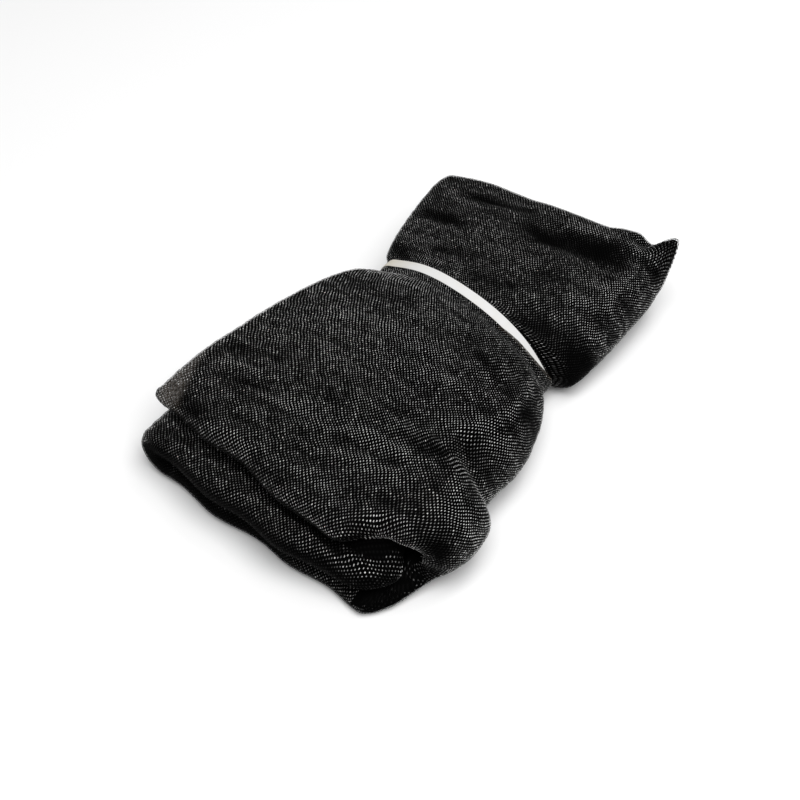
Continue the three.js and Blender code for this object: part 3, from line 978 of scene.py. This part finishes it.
# Outline that the tape lies on: the plain section's quarter turns on the left, half turn at the spine and
# straight runs between, draped and cut into even steps
def waistOutline(count):
    fold, spine = foldRadius + halfPad, spineRadius + halfPad
    half, high = pad["halfWidth"], sectionHeight
    cornerSteps, spineSteps, topSteps, underSteps = 12, 40, 60, 50
    quarter = np.linspace(0, np.pi / 2, cornerSteps)
    halfTurn = np.linspace(np.pi / 2, 1.5 * np.pi, spineSteps)
    top = np.linspace(half - halfPad, spineAt, topSteps)[1:-1]
    under = np.linspace(spineAt, half - fold, underSteps)[1:-1]
    edgeW, edgeC = half - halfPad, high - halfPad
    corner1 = np.stack([edgeW + halfPad * np.cos(quarter), edgeC + halfPad * np.sin(quarter)])
    back = np.stack([spineAt + spine * np.cos(halfTurn), high / 2 + spine * np.sin(halfTurn)])
    corner2 = np.stack([half - fold + fold * np.sin(quarter), fold - fold * np.cos(quarter)])
    level1 = np.stack([top, np.full(top.size, high)])
    level2 = np.stack([under, np.zeros(under.size)])
    w, c = np.hstack([corner1, level1, back, level2, corner2])
    line = drape(tape["x"] + tape["slant"] * w, w, c)
    line = np.vstack([line, line[:1]])
    run = np.concatenate([[0], np.cumsum(np.linalg.norm(np.diff(line, axis=0), axis=1))])
    even = np.linspace(0, run[-1], count, endpoint=False)
    return np.stack([np.interp(even, run, line[:, k]) for k in range(3)], -1), run[-1]


# Looks of the tape, in metres
weave = {
    "white": (0.66, 0.66, 0.655),
    "warm": (0.56, 0.52, 0.43),
    "warmFrom": 0.06,  # where on the left the warm tint starts, and where it is full
    "warmTo": 0.11,
    "cloud": 0.012,
    "shine": 0.2,
    "rib": 0.0012,
    "deep": 0.00008,
}


# White flat tape: faint ribs along it, a warm tint on its left
def tapeFinish(v):
    f = Finish("tapeWhite", Specular_IOR_Level=v["shine"])
    place = f.place()
    y = f.add("ShaderNodeSeparateXYZ", {}, {"Vector": place}, output="Y")
    x = f.add("ShaderNodeSeparateXYZ", {}, {"Vector": place}, output="X")
    warm = y.between(v["warmFrom"], v["warmTo"])
    cloud = f.noise(place, v["cloud"]).between(0.25, 0.75)
    f.set("Base Color", f.blend(warm * 0.8 + 0.15 * cloud, v["white"], v["warm"]))
    f.set("Roughness", 0.42 + 0.12 * cloud)
    rib = (x * (2 * np.pi / v["rib"])).cosine()
    f.bump(rib * 0.5 + cloud, v["deep"])
    return f


# The tape: a flat section with round edges and a parabola for its crown, carried round the outline and set
# off outward from it
def addTape():
    line, length = waistOutline(tape["steps"])
    ahead = np.roll(line, -1, 0) - np.roll(line, 1, 0)
    ahead /= np.linalg.norm(ahead, axis=1, keepdims=True)
    out = np.stack([0 * ahead[:, 0], ahead[:, 2], -ahead[:, 1]], -1)
    half, r = tape["width"] / 2, tape["edgeRadius"]
    turn = np.linspace(0, np.pi / 2, tape["edgeSteps"])
    flat = np.linspace(r - half, half - r, tape["flatSteps"])[1:-1]
    crown = tape["crown"] * (1 - (flat / half) ** 2)
    bottom, top = tape["clear"], tape["clear"] + tape["thick"] - tape["crown"]
    px = np.concatenate([flat, half - r + r * np.sin(turn), half - r + r * np.cos(turn)])
    ph = np.concatenate([0 * flat + bottom, bottom + r - r * np.cos(turn), top - r + r * np.sin(turn)])
    px = np.concatenate([px, flat[::-1], r - half - r * np.sin(turn), r - half - r * np.cos(turn)])
    ph = np.concatenate([ph, top + crown[::-1], top - r + r * np.cos(turn), bottom + r - r * np.sin(turn)])
    points = line[:, None, :] + out[:, None, :] * ph[None, :, None] * mm
    points[..., 0] += px[None, :] * mm
    rows, columns = points.shape[:2]
    roundIt = np.concatenate([[0], np.cumsum(np.hypot(np.diff(px), np.diff(ph)))])
    places = np.stack(np.meshgrid(roundIt * mm, np.arange(rows) / rows * length), -1).reshape(-1, 2)
    faces = gridFaces(rows, columns, True, True)
    finish = tapeFinish(weave)
    piece = addPiece("tapeBand", points.reshape(-1, 3), faces, finish, {bakeMap: fillMap(places)})
    return piece, length


tapeBand, tapeLength = addTape()
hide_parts("band")

# Pale floor and soft studio light
studio = {
    "floorSize": 4.0,
    "floorSteps": 9,
    "floorColour": (0.93, 0.93, 0.93),
    "floorDim": 0.97,  # the colour's share in the floor's faint clouds, and their size
    "floorCloud": 0.4,
    "sky": 0.42,
    "lamps": [  # name, direction from the bundle, distance, width, watts
        ("keyLampFar", (0.56, -0.10, 0.82), 1.8, 0.6, 4.0),
        ("softLamp", (-0.14, -0.30, 0.94), 3.0, 3.0, 95.0),
    ],
}


def addStudio(v):
    f = Finish("floorPale", Roughness=0.7)
    cloud = f.noise(f.place(), v["floorCloud"])
    dim = tuple(v["floorDim"] * c for c in v["floorColour"])
    f.set("Base Color", f.blend(cloud, v["floorColour"], dim))
    count = v["floorSteps"]
    side = np.linspace(-v["floorSize"], v["floorSize"], count)
    x, y = np.meshgrid(side, side, indexing="ij")
    points = np.stack([x, y, 0 * x], -1).reshape(-1, 3)
    mesh = bpy.data.meshes.new("floor")
    mesh.from_pydata(points, [], gridFaces(count, count))
    mesh.materials.append(f.material)
    floor = bpy.data.objects.new("floor", mesh)
    bpy.context.scene.collection.objects.link(floor)
    world = bpy.data.worlds.new("studio")
    world.use_nodes = True
    world.node_tree.nodes["Background"].inputs["Color"].default_value = (1, 1, 1, 1)
    world.node_tree.nodes["Background"].inputs["Strength"].default_value = v["sky"]
    bpy.context.scene.world = world
    for name, way, distance, width, watts in v["lamps"]:
        lamp = bpy.data.lights.new(name, "AREA")
        lamp.size, lamp.energy = width, watts
        holder = bpy.data.objects.new(name, lamp)
        holder.location = Vector(view["target"]) + Vector(way).normalized() * distance
        holder.rotation_euler = Vector(way).to_track_quat("Z", "Y").to_euler()
        bpy.context.scene.collection.objects.link(holder)
    bpy.context.scene.view_settings.view_transform = "Standard"


addStudio(studio)
print("studio set")
